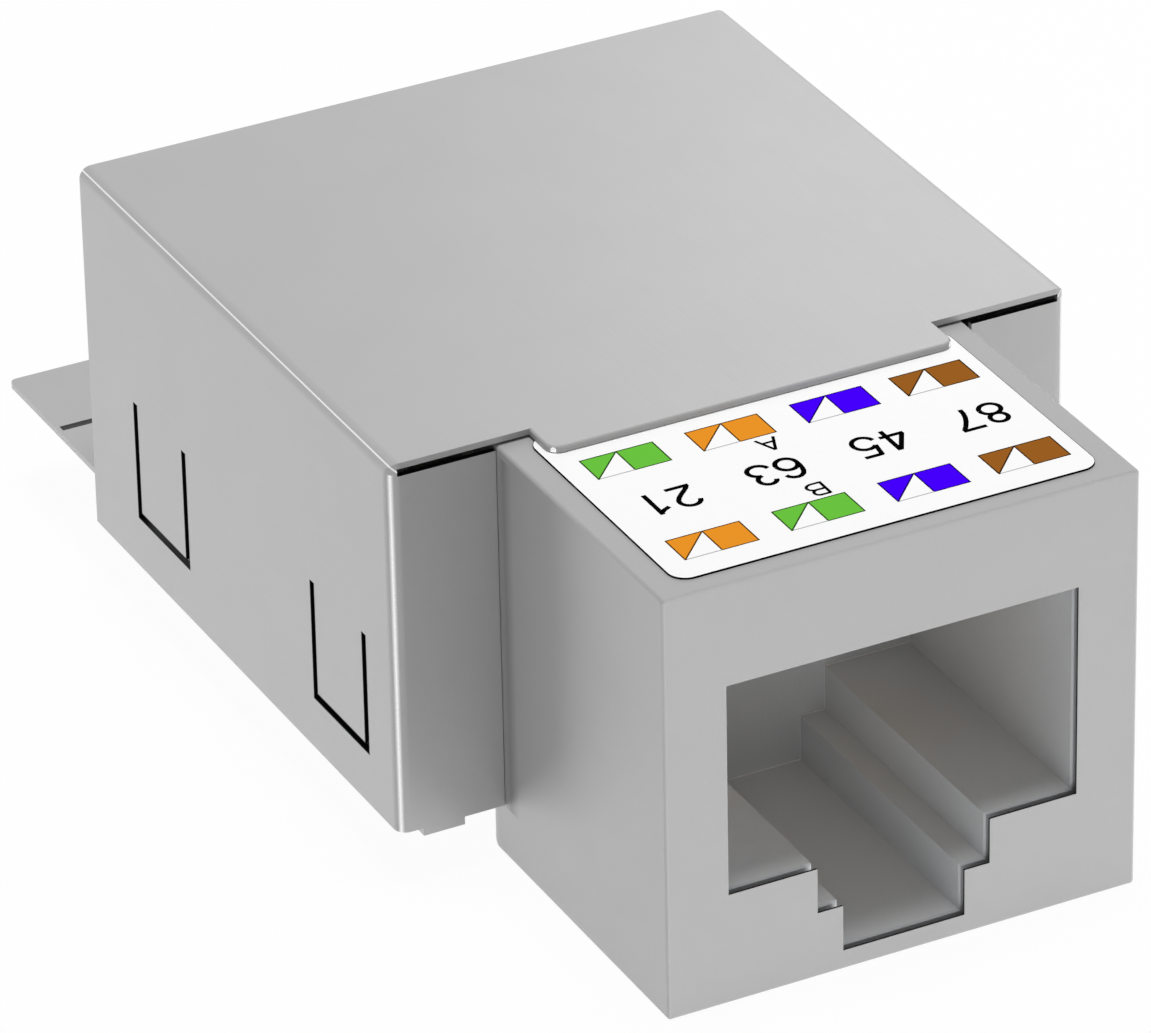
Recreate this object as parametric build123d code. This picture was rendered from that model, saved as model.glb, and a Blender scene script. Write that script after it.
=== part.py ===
from build123d import *
import os

os.makedirs("parts", exist_ok=True)

# Shielded modular jack module for eight-wire data cable.
# Millimetres. X runs across the part, +Y points away from the plug face, +Z is up.
# The origin lies under the middle of the part, on the plane of the block's underside.

# Overall length, from the plug face to the end of the cable tongue
OVERALL_L = 39.85

# Front block
BLOCK_W = 16.04
BLOCK_H = 14.44
BLOCK_REACH = 10.63
BLOCK_BEHIND = 1.35
BLOCK_EDGE_R = 0.12
BLOCK_REAR_R = 0.80
BLOCK_WALL = 1.02
BLOCK_ROOF = 1.04
SHOULDER_T = 1.50
SHOULDER_BELOW_COVER = 1.30

# Port for the plug: a main opening with two steps below it for the latch
PORT_W = 11.90
PORT_H = 7.20
STEP_W = 5.90
STEP_DEPTH = 1.55
NOTCH_W = 4.17
NOTCH_DEPTH = 3.13
NOTCH_BOTTOM_Z = 0.67
PORT_DEPTH = 10.40

# Mouth of the port: a thin rim, then a wider throat that the insert's sleeve fills
MOUTH_T = 0.08
THROAT_L = 0.94
THROAT_GROWTH = 0.42

# Shield cover
COVER_W = 23.28
COVER_L = 22.15
COVER_BOTTOM_Z = 1.86
COVER_SHEET = 0.20
BEND_OUTER_R = 0.40
FLANGE_SLIT = 0.25
FLANGE_SLIT_TO_SIDE = 0.31
FLANGE_TO_BLOCK_LEFT = 0.03
FLANGE_TO_BLOCK_RIGHT = 0.27
LIP_TO_BLOCK_SIDE = 1.10
LIP_REACH = 1.46
LIP_CORNER_R = 0.45
LIP_EDGE_R = 0.10

# Tabs lanced out of the two side walls of the cover, flush with the wall
TAB_W = 3.85
TAB_H = 4.20
TAB_TOP_Z = 7.90
TAB_TO_FLANGE = 1.98
TAB_TO_REAR = 3.42
TAB_SLIT = 0.25

# Shield tray inside the cover
TRAY_SHEET = 0.20
TRAY_WALL_TOP_Z = 9.60
TRAY_WALL_CORNER_R = 0.80
TRAY_BEND_R = 0.35
TRAY_FOLD_R = 0.18
FLOOR_TO_BLOCK = 0.15
RAMP_FOOT_TO_REAR = 1.90
RAMP_HEAD_TO_REAR = 0.40
WALL_TO_REAR = 0.60
TONGUE_TOP_Z = 3.65
TONGUE_TO_SIDE = 0.12
TONGUE_TO_COVER_REAR = 0.12
TONGUE_CORNER_R = 0.25
TONGUE_SLIT = 0.30
TONGUE_SLIT_TO_END = 3.70
TONGUE_SLIT_END_WEB = 0.15
TONGUE_NECK_W = 7.00
HOOK_W = 1.40
HOOK_TO_SIDE = 1.52
HOOK_DROP = 0.27
HOOK_T = 0.40
FOOT_TO_BLOCK = 0.35
PRESSING_R = 1.10
PRESSING_TOP_R = 0.66
DENT_TOP_R = 0.50
PRESSING_TO_BOARD_SIDE = 2.20
PRESSING_TO_BOARD_END = 2.20

# Fits
SHEET_GAP = 0.04
BODY_GAP = 0.05
PIN_GAP = 0.12
OVERLAP = 0.10
TOUCH = 0.01

# Circuit board
BOARD_TO_WALL = 0.40
BOARD_T = 1.00
BOARD_Z = 3.30
BOARD_TO_FLANGE = 2.00
BOARD_TO_REAR = 3.15
BOARD_CORNER_R = 0.60
PIN_HOLE_R = 0.48

# Contact springs
WAYS = 8
SPRING_PITCH = 1.02
SPRING_W = 0.45
SPRING_T = 0.32
SPRING_BELOW_TOP = 1.30
SPRING_NOSE_Y = 2.30
SPRING_NOSE_SET = 0.25
SPRING_NOSE_DROP = 1.25
SPRING_BEND_R = 0.30
SPRING_TRAVEL_ROOM = 0.60
SPRING_TIP_TO_BACK = 1.10
SPRING_TIP_ABOVE_FLOOR = 2.90
SPRING_ROW_TO_BOARD_END = 2.27
SPRING_ROW_PITCH = 1.50
PIN_BELOW_BOARD = 0.70

# Port insert
SLEEVE_T = 0.25
INSERT_FLOOR = 0.33
INSERT_SET_BACK = 0.35
INSERT_BACK_WALL = 1.00
INSERT_EDGE = 0.06
CARRIER_TO_SPRINGS = 0.55

# Terminal block with slots for the wires
TERMINAL_TO_WALL = 0.90
TERMINAL_L = 7.00
TERMINAL_TO_COVER = 1.13
TERMINAL_TO_FLANGE = 9.20
TERMINAL_END_TO_WAY = 1.55
WIRE_SLOT_W = 0.80
WIRE_SLOT_DEPTH = 5.60
LEAD_IN_DEPTH = 1.20
LEAD_IN_W = 0.45
LEDGE_W = 1.20
LEDGE_LEAN = 0.50
FORK_W = 1.90
FORK_T = 0.40
FORK_BELOW_TOP = 1.50
FORK_SLIT = 0.32
FORK_SLIT_DEPTH = 4.20
FORK_LEAD_IN_DEPTH = 0.80
FORK_LEAD_IN_W = 0.35
FORK_PIN_W = 0.60

# Wiring label
LABEL_T = 0.06
LABEL_TO_SIDE = 0.87
LABEL_TO_FRONT = 0.74
LABEL_TO_FLANGE = 0.23
LABEL_TO_LIP = 0.03
LABEL_CORNER_R = 0.60

# Places along the part
FRONT_Y = -OVERALL_L / 2
TAIL_Y = FRONT_Y + OVERALL_L
FLANGE_Y = FRONT_Y + BLOCK_REACH
FLANGE_BACK_Y = FLANGE_Y + COVER_SHEET
COVER_REAR_Y = FLANGE_Y + COVER_L
BOARD_FRONT_Y = FLANGE_Y + BOARD_TO_FLANGE
BOARD_REAR_Y = COVER_REAR_Y - BOARD_TO_REAR
SPRING_ROW_1_Y = BOARD_FRONT_Y + SPRING_ROW_TO_BOARD_END
SPRING_ROW_2_Y = SPRING_ROW_1_Y + SPRING_ROW_PITCH
TERMINAL_Y = FLANGE_Y + TERMINAL_TO_FLANGE
FORK_Y = TERMINAL_Y + TERMINAL_L / 2

# Heights
PORT_FLOOR_Z = NOTCH_BOTTOM_Z + NOTCH_DEPTH
COVER_CEILING_Z = BLOCK_H + LABEL_T + LABEL_TO_LIP
COVER_TOP_Z = COVER_CEILING_Z + COVER_SHEET
TRAY_FLOOR_Z = COVER_BOTTOM_Z + TRAY_SHEET
BOARD_TOP_Z = BOARD_Z + BOARD_T
INSERT_BOTTOM_Z = NOTCH_BOTTOM_Z - INSERT_FLOOR
INSERT_TOP_Z = BLOCK_H - BLOCK_ROOF
SPRING_RUN_Z = INSERT_TOP_Z - SPRING_BELOW_TOP
TERMINAL_TOP_Z = COVER_CEILING_Z - TERMINAL_TO_COVER
FORK_TOP_Z = TERMINAL_TOP_Z - FORK_BELOW_TOP

# Places across the part
INSERT_X = BLOCK_W / 2 - BLOCK_WALL
FOOT_X = BLOCK_W / 2 + FOOT_TO_BLOCK
COVER_INSIDE_X = COVER_W / 2 - COVER_SHEET
TRAY_X = COVER_INSIDE_X - SHEET_GAP
TRAY_INSIDE_X = TRAY_X - TRAY_SHEET
TONGUE_X = COVER_W / 2 - TONGUE_TO_SIDE
HOOK_X = COVER_W / 2 - HOOK_TO_SIDE
BOARD_X = TRAY_INSIDE_X - BOARD_TO_WALL
PRESSING_X = BOARD_X - PRESSING_TO_BOARD_SIDE
TERMINAL_X = TRAY_INSIDE_X - TERMINAL_TO_WALL
WAY_PITCH = 2 * (TERMINAL_X - TERMINAL_END_TO_WAY) / (WAYS - 1)


def block(x0, x1, y0, y1, z0, z1):
    """A box between two corners."""
    return Pos((x0 + x1) / 2, (y0 + y1) / 2, (z0 + z1) / 2) * Box(x1 - x0, y1 - y0, z1 - z0)


def across(sketch, x0, x1):
    """A solid from a drawing of the YZ plane, between two places across the part."""
    return extrude(Plane.YZ.offset(x0) * sketch, x1 - x0)


def along(sketch, y0, y1):
    """A solid from a drawing of the XZ plane, between two places along the part."""
    return extrude(Plane.XZ.offset(-y1) * sketch, y1 - y0)


def mirrored(shape):
    """A shape together with its copy on the other side of the part."""
    return shape + mirror(shape, Plane.YZ)


def edges_along(shape, axis, keep):
    """The straight edges of a shape that run along an axis and pass a test on their middle."""
    return [e for e in shape.edges().filter_by(axis) if keep(e.center())]


def port_outline(grow):
    """The outline of the port with its two steps, every side moved outward by the same distance."""
    w = PORT_W / 2 + grow
    s = STEP_W / 2 + grow
    n = NOTCH_W / 2 + grow
    top = PORT_FLOOR_Z + PORT_H + grow
    floor = PORT_FLOOR_Z - grow
    step = PORT_FLOOR_Z - STEP_DEPTH - grow
    notch = PORT_FLOOR_Z - NOTCH_DEPTH - grow
    points = [
        (-w, top),
        (-w, floor),
        (-s, floor),
        (-s, step),
        (-n, step),
        (-n, notch),
        (n, notch),
        (n, step),
        (s, step),
        (s, floor),
        (w, floor),
        (w, top),
    ]
    return make_face(Polyline(*points, close=True))


# Shield cover: the folded shell
cover_half = COVER_W / 2
shell = block(-cover_half, cover_half, FLANGE_Y, COVER_REAR_Y, COVER_BOTTOM_Z, COVER_TOP_Z)
top_bends = edges_along(shell, Axis.Y, lambda c: c.Z > COVER_TOP_Z - TOUCH)
front_bends = edges_along(shell, Axis.Z, lambda c: c.Y < FLANGE_Y + TOUCH)
shell = fillet(top_bends + front_bends, BEND_OUTER_R)
bend_inner_r = BEND_OUTER_R - COVER_SHEET
hollow = block(
    -COVER_INSIDE_X,
    COVER_INSIDE_X,
    FLANGE_BACK_Y,
    COVER_REAR_Y + 1,
    COVER_BOTTOM_Z - 1,
    COVER_CEILING_Z,
)
hollow_top = edges_along(hollow, Axis.Y, lambda c: c.Z > COVER_CEILING_Z - TOUCH)
hollow_front = edges_along(hollow, Axis.Z, lambda c: c.Y < FLANGE_BACK_Y + TOUCH)
hollow = fillet(hollow_top + hollow_front, bend_inner_r)
cover = shell - hollow

# Shield cover: the space for the block between the two front flanges, and the slit above them
cover -= block(
    -BLOCK_W / 2 - FLANGE_TO_BLOCK_LEFT,
    BLOCK_W / 2 + FLANGE_TO_BLOCK_RIGHT,
    FLANGE_Y - 1,
    FLANGE_BACK_Y + OVERLAP,
    COVER_BOTTOM_Z - 1,
    COVER_CEILING_Z,
)
slit_x = cover_half - FLANGE_SLIT_TO_SIDE
cover -= block(
    -slit_x,
    slit_x,
    FLANGE_Y - 1,
    FLANGE_BACK_Y + OVERLAP,
    COVER_CEILING_Z - FLANGE_SLIT,
    COVER_CEILING_Z,
)

# Shield cover: the lip that reaches forward over the label
lip_w = BLOCK_W - 2 * LIP_TO_BLOCK_SIDE
lip_plan = Pos(0, FLANGE_Y - LIP_REACH / 2 + OVERLAP / 2) * Rectangle(lip_w, LIP_REACH + OVERLAP)
lip_corners = lip_plan.vertices().filter_by(lambda v: v.Y < FLANGE_Y)
lip_plan = fillet(lip_corners, LIP_CORNER_R)
lip = extrude(Plane.XY.offset(COVER_CEILING_Z) * lip_plan, COVER_SHEET)
lip_top = lip.faces().sort_by(Axis.Z)[-1].edges()
lip = fillet([e for e in lip_top if e.center().Y < FLANGE_Y], LIP_EDGE_R)
cover += lip

# Shield cover: two tabs in each side wall, each freed by a slit on three sides
tab_fronts = [FLANGE_Y + TAB_TO_FLANGE, COVER_REAR_Y - TAB_TO_REAR - TAB_W]
tab_foot_z = TAB_TOP_Z - TAB_H
for tab_y in tab_fronts:
    window = block(COVER_INSIDE_X - 1, cover_half + 1, tab_y, tab_y + TAB_W, tab_foot_z, TAB_TOP_Z)
    tab = block(
        COVER_INSIDE_X - 1,
        cover_half + 1,
        tab_y + TAB_SLIT,
        tab_y + TAB_W - TAB_SLIT,
        tab_foot_z + TAB_SLIT,
        TAB_TOP_Z,
    )
    cover -= mirrored(window - tab)
export_step(cover, "parts/shield_cover.step")

# Shield tray: floor, ramp and cable tongue as one strip, the tongue a little wider behind the cover
floor_mid_z = COVER_BOTTOM_Z + TRAY_SHEET / 2
tongue_mid_z = TONGUE_TOP_Z - TRAY_SHEET / 2
ramp_foot_y = COVER_REAR_Y - RAMP_FOOT_TO_REAR
ramp_head_y = COVER_REAR_Y - RAMP_HEAD_TO_REAR
floor_front_y = FLANGE_Y + BLOCK_BEHIND + FLOOR_TO_BLOCK
tongue_front_y = COVER_REAR_Y + TONGUE_TO_COVER_REAR
strip_line = FilletPolyline(
    (floor_front_y, floor_mid_z),
    (ramp_foot_y, floor_mid_z),
    (ramp_head_y, tongue_mid_z),
    (tongue_front_y + OVERLAP, tongue_mid_z),
    radius=TRAY_BEND_R,
)
strip = across(trace(strip_line, line_width=TRAY_SHEET), -TRAY_X, TRAY_X)
tongue = block(
    -TONGUE_X,
    TONGUE_X,
    tongue_front_y,
    TAIL_Y,
    TONGUE_TOP_Z - TRAY_SHEET,
    TONGUE_TOP_Z,
)
tongue = fillet(edges_along(tongue, Axis.Z, lambda c: c.Y > TAIL_Y - TOUCH), TONGUE_CORNER_R)
tray = strip + tongue

# Shield tray: side walls with windows for the sprung tabs of the cover
wall = block(
    TRAY_INSIDE_X,
    TRAY_X,
    FLANGE_BACK_Y + BEND_OUTER_R,
    COVER_REAR_Y - WALL_TO_REAR,
    COVER_BOTTOM_Z,
    TRAY_WALL_TOP_Z,
)
wall_ends = edges_along(wall, Axis.X, lambda c: c.Z > TRAY_WALL_TOP_Z - TOUCH)
wall = fillet(wall_ends, TRAY_WALL_CORNER_R)
for tab_y in tab_fronts:
    wall -= block(
        TRAY_INSIDE_X - 1,
        TRAY_X + 1,
        tab_y - SHEET_GAP,
        tab_y + TAB_W + SHEET_GAP,
        tab_foot_z - SHEET_GAP,
        TAB_TOP_Z + SHEET_GAP,
    )
tray += mirrored(wall)
folds = edges_along(tray, Axis.Y, lambda c: c.Z < COVER_BOTTOM_Z + TOUCH and abs(c.X) > TRAY_X - TOUCH)
tray = fillet(folds, TRAY_FOLD_R)

# Shield tray: front feet beside the block, each with a hook under the flange in front of it
foot = block(
    FOOT_X,
    TRAY_INSIDE_X,
    FLANGE_BACK_Y,
    floor_front_y + OVERLAP,
    COVER_BOTTOM_Z,
    TRAY_FLOOR_Z,
)
hook = block(
    HOOK_X - HOOK_W / 2,
    HOOK_X + HOOK_W / 2,
    FLANGE_Y,
    FLANGE_Y + HOOK_T,
    COVER_BOTTOM_Z - HOOK_DROP,
    COVER_BOTTOM_Z,
)
tray += mirrored(foot + hook)

# Shield tray: the slit across the tongue, left whole at a neck in the middle
slit_y = TAIL_Y - TONGUE_SLIT_TO_END
tongue_slit = block(
    TONGUE_NECK_W / 2,
    TONGUE_X - TONGUE_SLIT_END_WEB,
    slit_y - TONGUE_SLIT,
    slit_y,
    TONGUE_TOP_Z - 1,
    TONGUE_TOP_Z + 1,
)
tray -= mirrored(tongue_slit)

# Shield tray: four hollow pressings that carry the circuit board
pressing_h = BOARD_Z - TRAY_FLOOR_Z
dent_h = BOARD_Z - TRAY_SHEET - COVER_BOTTOM_Z
pressing_ys = [BOARD_FRONT_Y + PRESSING_TO_BOARD_END, BOARD_REAR_Y - PRESSING_TO_BOARD_END]
for py in pressing_ys:
    for px in (-PRESSING_X, PRESSING_X):
        raised = Pos(px, py, TRAY_FLOOR_Z + pressing_h / 2) * Cone(PRESSING_R, PRESSING_TOP_R, pressing_h)
        dent = Pos(px, py, COVER_BOTTOM_Z + dent_h / 2) * Cone(PRESSING_R, DENT_TOP_R, dent_h)
        tray = tray + raised - dent
export_step(tray, "parts/shield_tray.step")

# Jack housing: the front block and the shoulder behind the flanges of the cover
half = BLOCK_W / 2
block_rear_y = FLANGE_Y + BLOCK_BEHIND
body = block(-half, half, FRONT_Y, block_rear_y, 0, BLOCK_H)
body = fillet(body.edges().filter_by(lambda e: e.center().Y < block_rear_y - TOUCH), BLOCK_EDGE_R)
body = fillet(edges_along(body, Axis.Z, lambda c: c.Y > block_rear_y - TOUCH), BLOCK_REAR_R)
shoulder_x = TRAY_INSIDE_X - BODY_GAP
shoulder = block(
    -shoulder_x,
    shoulder_x,
    FLANGE_BACK_Y,
    FLANGE_BACK_Y + SHOULDER_T,
    TRAY_FLOOR_Z,
    COVER_CEILING_Z - SHOULDER_BELOW_COVER,
)
housing = body + shoulder

# Jack housing: the mouth of the port, a thin edge in front of the pocket for the insert
pocket = block(
    -INSERT_X - BODY_GAP,
    INSERT_X + BODY_GAP,
    FRONT_Y + MOUTH_T + THROAT_L,
    FLANGE_BACK_Y + SHOULDER_T + 1,
    INSERT_BOTTOM_Z - BODY_GAP,
    INSERT_TOP_Z + BODY_GAP,
)
mouth = along(port_outline(0), FRONT_Y - 1, FRONT_Y + MOUTH_T)
throat = along(port_outline(THROAT_GROWTH), FRONT_Y + MOUTH_T, FRONT_Y + MOUTH_T + THROAT_L + OVERLAP)
housing = housing - pocket - mouth - throat
export_step(housing, "parts/jack_housing.step")

# Port insert: a sleeve with the same steps as the mouth, and a carrier behind it
sleeve_front_y = FRONT_Y + INSERT_SET_BACK
collar_y = FRONT_Y + MOUTH_T + THROAT_L + BODY_GAP
back_wall_y = FRONT_Y + PORT_DEPTH
carrier_rear_y = SPRING_ROW_1_Y - CARRIER_TO_SPRINGS
insert = along(port_outline(SLEEVE_T), sleeve_front_y, collar_y + OVERLAP)
insert += block(
    -INSERT_X,
    INSERT_X,
    collar_y,
    back_wall_y + INSERT_BACK_WALL,
    INSERT_BOTTOM_Z,
    INSERT_TOP_Z,
)
insert += block(
    -INSERT_X,
    INSERT_X,
    back_wall_y + INSERT_BACK_WALL - OVERLAP,
    carrier_rear_y,
    BOARD_TOP_Z,
    INSERT_TOP_Z,
)
insert -= along(port_outline(0), sleeve_front_y - 1, back_wall_y)
sleeve_edges = insert.edges().filter_by(lambda e: abs(e.center().Y - sleeve_front_y) < TOUCH)
outer_face = along(port_outline(SLEEVE_T / 2), sleeve_front_y - 1, sleeve_front_y + 1)
inner_edges = [e for e in sleeve_edges if outer_face.is_inside(e.center())]
insert = chamfer(inner_edges, INSERT_EDGE)

# Contact springs: one bent strip for each way, from the board over the carrier and back into the port
spring_clear_w = SPRING_W + 2 * PIN_GAP
for way in range(WAYS):
    x = (way - (WAYS - 1) / 2) * SPRING_PITCH
    if way % 2 == 0:
        row_y = SPRING_ROW_1_Y
    else:
        row_y = SPRING_ROW_2_Y
    spring_line = FilletPolyline(
        (row_y, BOARD_Z - PIN_BELOW_BOARD),
        (row_y, SPRING_RUN_Z),
        (FRONT_Y + SPRING_NOSE_Y, SPRING_RUN_Z),
        (FRONT_Y + SPRING_NOSE_Y + SPRING_NOSE_SET, SPRING_RUN_Z - SPRING_NOSE_DROP),
        (back_wall_y - SPRING_TIP_TO_BACK, PORT_FLOOR_Z + SPRING_TIP_ABOVE_FLOOR),
        radius=SPRING_BEND_R,
    )
    spring = across(trace(spring_line, line_width=SPRING_T), x - SPRING_W / 2, x + SPRING_W / 2)
    export_step(spring, "parts/contact_spring_" + str(way + 1) + ".step")
    insert -= block(
        x - spring_clear_w / 2,
        x + spring_clear_w / 2,
        FRONT_Y + SPRING_NOSE_Y - SPRING_TRAVEL_ROOM,
        back_wall_y,
        PORT_FLOOR_Z + PORT_H - OVERLAP,
        SPRING_RUN_Z + SPRING_T / 2 + PIN_GAP,
    )
    insert -= block(
        x - spring_clear_w / 2,
        x + spring_clear_w / 2,
        back_wall_y - OVERLAP,
        carrier_rear_y + 1,
        SPRING_RUN_Z - SPRING_T / 2,
        SPRING_RUN_Z + SPRING_T / 2 + PIN_GAP,
    )
export_step(insert, "parts/port_insert.step")

# Circuit board with a hole for every spring and every fork
board = block(-BOARD_X, BOARD_X, BOARD_FRONT_Y, BOARD_REAR_Y, BOARD_Z, BOARD_TOP_Z)
board = fillet(board.edges().filter_by(Axis.Z), BOARD_CORNER_R)
for way in range(WAYS):
    x = (way - (WAYS - 1) / 2) * SPRING_PITCH
    if way % 2 == 0:
        row_y = SPRING_ROW_1_Y
    else:
        row_y = SPRING_ROW_2_Y
    board -= Pos(x, row_y, BOARD_Z + BOARD_T / 2) * Cylinder(PIN_HOLE_R, BOARD_T * 2)
    fork_x = (way - (WAYS - 1) / 2) * WAY_PITCH
    board -= Pos(fork_x, FORK_Y, BOARD_Z + BOARD_T / 2) * Cylinder(PIN_HOLE_R, BOARD_T * 2)
export_step(board, "parts/circuit_board.step")

# Terminal block: a comb of pillars with a wire slot for every way
base_top_z = TERMINAL_TOP_Z - WIRE_SLOT_DEPTH
terminal = block(
    -TERMINAL_X,
    TERMINAL_X,
    TERMINAL_Y,
    TERMINAL_Y + TERMINAL_L,
    BOARD_TOP_Z,
    TERMINAL_TOP_Z,
)
rear_y = TERMINAL_Y + TERMINAL_L
for face_y, inward in ((TERMINAL_Y, 1), (rear_y, -1)):
    ledge_points = [
        (face_y - inward, TERMINAL_TOP_Z + 1),
        (face_y - inward, base_top_z),
        (face_y + inward * LEDGE_W, base_top_z),
        (face_y + inward * (LEDGE_W + LEDGE_LEAN), TERMINAL_TOP_Z + 1),
    ]
    terminal -= across(make_face(Polyline(*ledge_points, close=True)), -TERMINAL_X - 1, TERMINAL_X + 1)
slot_half = WIRE_SLOT_W / 2
for way in range(WAYS):
    fork_x = (way - (WAYS - 1) / 2) * WAY_PITCH
    slot_points = [
        (fork_x - slot_half, base_top_z),
        (fork_x + slot_half, base_top_z),
        (fork_x + slot_half, TERMINAL_TOP_Z - LEAD_IN_DEPTH),
        (fork_x + slot_half + LEAD_IN_W, TERMINAL_TOP_Z + OVERLAP),
        (fork_x - slot_half - LEAD_IN_W, TERMINAL_TOP_Z + OVERLAP),
        (fork_x - slot_half, TERMINAL_TOP_Z - LEAD_IN_DEPTH),
    ]
    terminal -= along(make_face(Polyline(*slot_points, close=True)), TERMINAL_Y - 1, rear_y + 1)
    terminal -= block(
        fork_x - FORK_W / 2 - PIN_GAP,
        fork_x + FORK_W / 2 + PIN_GAP,
        FORK_Y - FORK_T / 2 - PIN_GAP,
        FORK_Y + FORK_T / 2 + PIN_GAP,
        BOARD_TOP_Z - 1,
        FORK_TOP_Z + PIN_GAP,
    )
export_step(terminal, "parts/terminal_block.step")

# Fork contacts: a slit plate in each wire slot, with a pin through the board
for way in range(WAYS):
    fork_x = (way - (WAYS - 1) / 2) * WAY_PITCH
    w = FORK_W / 2
    s = FORK_SLIT / 2
    pin = FORK_PIN_W / 2
    slit_foot_z = FORK_TOP_Z - FORK_SLIT_DEPTH
    right = [
        (s, slit_foot_z),
        (s, FORK_TOP_Z - FORK_LEAD_IN_DEPTH),
        (s + FORK_LEAD_IN_W, FORK_TOP_Z),
        (w, FORK_TOP_Z),
        (w, BOARD_TOP_Z),
        (pin, BOARD_TOP_Z),
        (pin, BOARD_Z - PIN_BELOW_BOARD),
    ]
    outline = right + [(-px, pz) for px, pz in reversed(right)]
    fork = along(make_face(Polyline(*outline, close=True)), FORK_Y - FORK_T / 2, FORK_Y + FORK_T / 2)
    export_step(Pos(fork_x, 0, 0) * fork, "parts/fork_contact_" + str(way + 1) + ".step")

# Wiring label on top of the block
label_front_y = FRONT_Y + LABEL_TO_FRONT
label_rear_y = FLANGE_Y - LABEL_TO_FLANGE
label_w = BLOCK_W - 2 * LABEL_TO_SIDE
label_l = label_rear_y - label_front_y
label_plan = Pos(0, label_front_y + label_l / 2) * RectangleRounded(label_w, label_l, LABEL_CORNER_R)
label = extrude(Plane.XY.offset(BLOCK_H) * label_plan, LABEL_T)
export_step(label, "parts/wiring_label.step")
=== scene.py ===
# %% [markdown]
# A shielded modular jack module: a plated front block with the stepped plug port, a folded sheet
# shield behind it, and a flat tongue for the cable at the rear. The solids come measured from the
# CAD frame and are never moved here. This lesson gives each of them its finish, prints the wiring
# label, and sets up the camera and a plain studio.

import math

import bpy
from mathutils import Matrix, Vector


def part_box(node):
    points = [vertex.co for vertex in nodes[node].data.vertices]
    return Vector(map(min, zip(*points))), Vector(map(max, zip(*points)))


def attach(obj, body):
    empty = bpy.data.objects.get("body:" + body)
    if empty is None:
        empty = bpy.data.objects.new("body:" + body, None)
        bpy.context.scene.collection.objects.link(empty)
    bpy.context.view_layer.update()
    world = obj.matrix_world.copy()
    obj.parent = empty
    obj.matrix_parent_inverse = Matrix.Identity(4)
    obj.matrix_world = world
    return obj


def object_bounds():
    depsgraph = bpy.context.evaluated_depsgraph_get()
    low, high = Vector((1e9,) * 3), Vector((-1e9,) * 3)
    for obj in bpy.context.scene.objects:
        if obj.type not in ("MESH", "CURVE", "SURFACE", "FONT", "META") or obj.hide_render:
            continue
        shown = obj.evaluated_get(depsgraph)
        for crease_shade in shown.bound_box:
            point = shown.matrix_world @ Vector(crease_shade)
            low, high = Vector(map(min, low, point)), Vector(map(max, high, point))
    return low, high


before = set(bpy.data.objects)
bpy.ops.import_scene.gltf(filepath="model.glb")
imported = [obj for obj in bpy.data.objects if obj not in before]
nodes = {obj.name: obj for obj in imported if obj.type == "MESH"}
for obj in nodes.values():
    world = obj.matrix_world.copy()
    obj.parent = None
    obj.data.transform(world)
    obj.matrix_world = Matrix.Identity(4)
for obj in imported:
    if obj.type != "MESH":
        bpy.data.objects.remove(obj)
cad_low, cad_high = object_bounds()
print("nodes:", len(nodes), "box in mm:", [round(v * 1000, 2) for v in (cad_high - cad_low)])

# %% [markdown]
# Every finish below is a small graph of shader nodes. Graphs are hard to read when each node takes
# four lines, so one class wraps a node's output and lets plain arithmetic build the Math nodes. Any
# other node comes from its one method, which takes the node's kind, its settings and its sockets.


# %% A shader value that takes part in arithmetic
class Wire:
    def __init__(self, tree, socket):
        self.tree = tree
        self.socket = socket

    def node(self, kind, settings=None, sockets=None, out=0):
        made = self.tree.nodes.new("ShaderNode" + kind)
        for name, value in (settings or {}).items():
            setattr(made, name, value)
        for name, value in (sockets or {}).items():
            if isinstance(value, Wire):
                self.tree.links.new(value.socket, made.inputs[name])
            else:
                made.inputs[name].default_value = value
        return Wire(self.tree, made.outputs[out])

    def math(self, operation, a, b=0.0):
        return self.node("Math", {"operation": operation}, {0: a, 1: b})

    def __add__(self, other):
        return self.math("ADD", self, other)

    def __radd__(self, other):
        return self.math("ADD", other, self)

    def __sub__(self, other):
        return self.math("SUBTRACT", self, other)

    def __rsub__(self, other):
        return self.math("SUBTRACT", other, self)

    def __mul__(self, other):
        return self.math("MULTIPLY", self, other)

    def __rmul__(self, other):
        return self.math("MULTIPLY", other, self)

    def __gt__(self, other):
        return self.math("GREATER_THAN", self, other)

    def __lt__(self, other):
        return self.math("LESS_THAN", self, other)

    def __abs__(self):
        return self.math("ABSOLUTE", self)

    def larger(self, other):
        return self.math("MAXIMUM", self, other)

    def smaller(self, other):
        return self.math("MINIMUM", self, other)

    def clamped(self):
        return self.node("Clamp", {}, {"Value": self})


# %% [markdown]
# A finish starts from the same few things: a Principled shader, and the place on the part in
# millimetres. Object coordinates are used because every solid keeps the part's own origin, so a mark
# or a bend can be placed by its real size. What varies is then fed to the shader, fine unevenness
# goes in as relief, and the finished material dresses the solids that it belongs to.


# %% Start a finish
MM = 1000.0


def new_finish(name, colour, roughness, metallic):
    material = bpy.data.materials.new(name)
    material.use_nodes = True
    tree = material.node_tree
    shader = tree.nodes["Principled BSDF"]
    shader.inputs["Base Color"].default_value = (*colour, 1)
    shader.inputs["Roughness"].default_value = roughness
    shader.inputs["Metallic"].default_value = metallic
    return material, tree, shader


def place_on_part(tree):
    start = Wire(tree, None)
    place = start.node("TexCoord", out="Object")
    return place.node("VectorMath", {"operation": "SCALE"}, {0: place, "Scale": MM})


def feed(wire, shader, socket):
    wire.tree.links.new(wire.socket, shader.inputs[socket])


def relief(height, shader, depth_mm):
    """A height from 0 to 1 as a fine relief of that many millimetres."""
    bump = height.node("Bump", {}, {"Height": height, "Distance": depth_mm / MM, "Strength": 1.0})
    feed(bump, shader, "Normal")


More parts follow.
